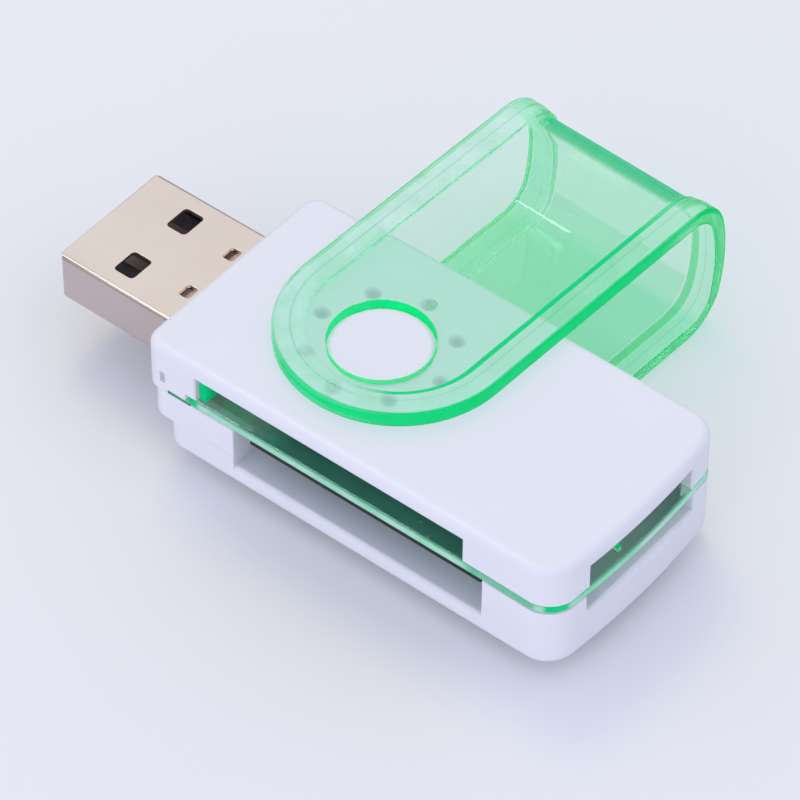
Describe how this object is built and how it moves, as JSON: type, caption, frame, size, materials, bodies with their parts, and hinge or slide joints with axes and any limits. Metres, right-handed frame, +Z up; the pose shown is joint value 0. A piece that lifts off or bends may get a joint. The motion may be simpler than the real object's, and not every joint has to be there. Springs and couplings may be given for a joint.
{
  "type": "usb memory card reader",
  "caption": "Pocket card reader with a plug at one end, card slots in its side and end, and a clear cover that swivels round to guard the plug.",
  "frame": {"origin": "under the middle of the part's bounding box, on the surface the lower arm of the cover rests on", "axes": "+X from the plug to the far end of the body, +Z up through the roof, +Y towards the opened cover"},
  "size_m": [0.0534, 0.0412, 0.0139],
  "materials": {
    "white_plastic": "satin gloss moulding",
    "clear_green_cover": "clear tinted moulding",
    "clear_green_plate": "clear tinted moulding",
    "plug_metal": "nickel-plated sheet",
    "board": "black solder mask",
    "contact_metal": "gold-plated spring",
    "can_metal": "pressed can",
    "black_plastic": "moulded",
    "lamp_plastic": "clear lens"
  },
  "bodies": {
    "reader_body": {"bottom_shell": "white_plastic", "capacitor_1": "black_plastic", "capacitor_2": "black_plastic", "circuit_board": "board", "controller_chip": "black_plastic", "crystal": "can_metal", "indicator_led": "lamp_plastic", "large_card_contact_1": "contact_metal", "large_card_contact_2": "contact_metal", "large_card_contact_3": "contact_metal", "large_card_contact_4": "contact_metal", "large_card_contact_5": "contact_metal", "large_card_contact_6": "contact_metal", "large_card_contact_7": "contact_metal", "large_card_contact_8": "contact_metal", "large_card_contact_9": "contact_metal", "large_card_holder": "black_plastic", "micro_card_contact_1": "contact_metal", "micro_card_contact_2": "contact_metal", "micro_card_contact_3": "contact_metal", "micro_card_contact_4": "contact_metal", "micro_card_contact_5": "contact_metal", "micro_card_contact_6": "contact_metal", "micro_card_contact_7": "contact_metal", "micro_card_contact_8": "contact_metal", "micro_card_holder": "black_plastic", "middle_plate": "clear_green_plate", "resistor": "black_plastic", "small_stick_contact_1": "contact_metal", "small_stick_contact_10": "contact_metal", "small_stick_contact_11": "contact_metal", "small_stick_contact_2": "contact_metal", "small_stick_contact_3": "contact_metal", "small_stick_contact_4": "contact_metal", "small_stick_contact_5": "contact_metal", "small_stick_contact_6": "contact_metal", "small_stick_contact_7": "contact_metal", "small_stick_contact_8": "contact_metal", "small_stick_contact_9": "contact_metal", "small_stick_holder": "black_plastic", "top_shell": "white_plastic", "usb_contact_1": "contact_metal", "usb_contact_2": "contact_metal", "usb_contact_3": "contact_metal", "usb_contact_4": "contact_metal", "usb_shell": "plug_metal", "usb_tongue": "black_plastic", "wide_card_contact_1": "contact_metal", "wide_card_contact_10": "contact_metal", "wide_card_contact_2": "contact_metal", "wide_card_contact_3": "contact_metal", "wide_card_contact_4": "contact_metal", "wide_card_contact_5": "contact_metal", "wide_card_contact_6": "contact_metal", "wide_card_contact_7": "contact_metal", "wide_card_contact_8": "contact_metal", "wide_card_contact_9": "contact_metal", "wide_card_holder": "black_plastic"},
    "cover": {"swivel_cover": "clear_green_cover"}
  },
  "joints": [
    {"name": "cover_swivel", "type": "hinge", "parent": "reader_body", "child": "cover", "pos_m": [0.00125, -0.01018, 0.00695], "axis": [0, 0, 1], "continuous": true}
  ]
}
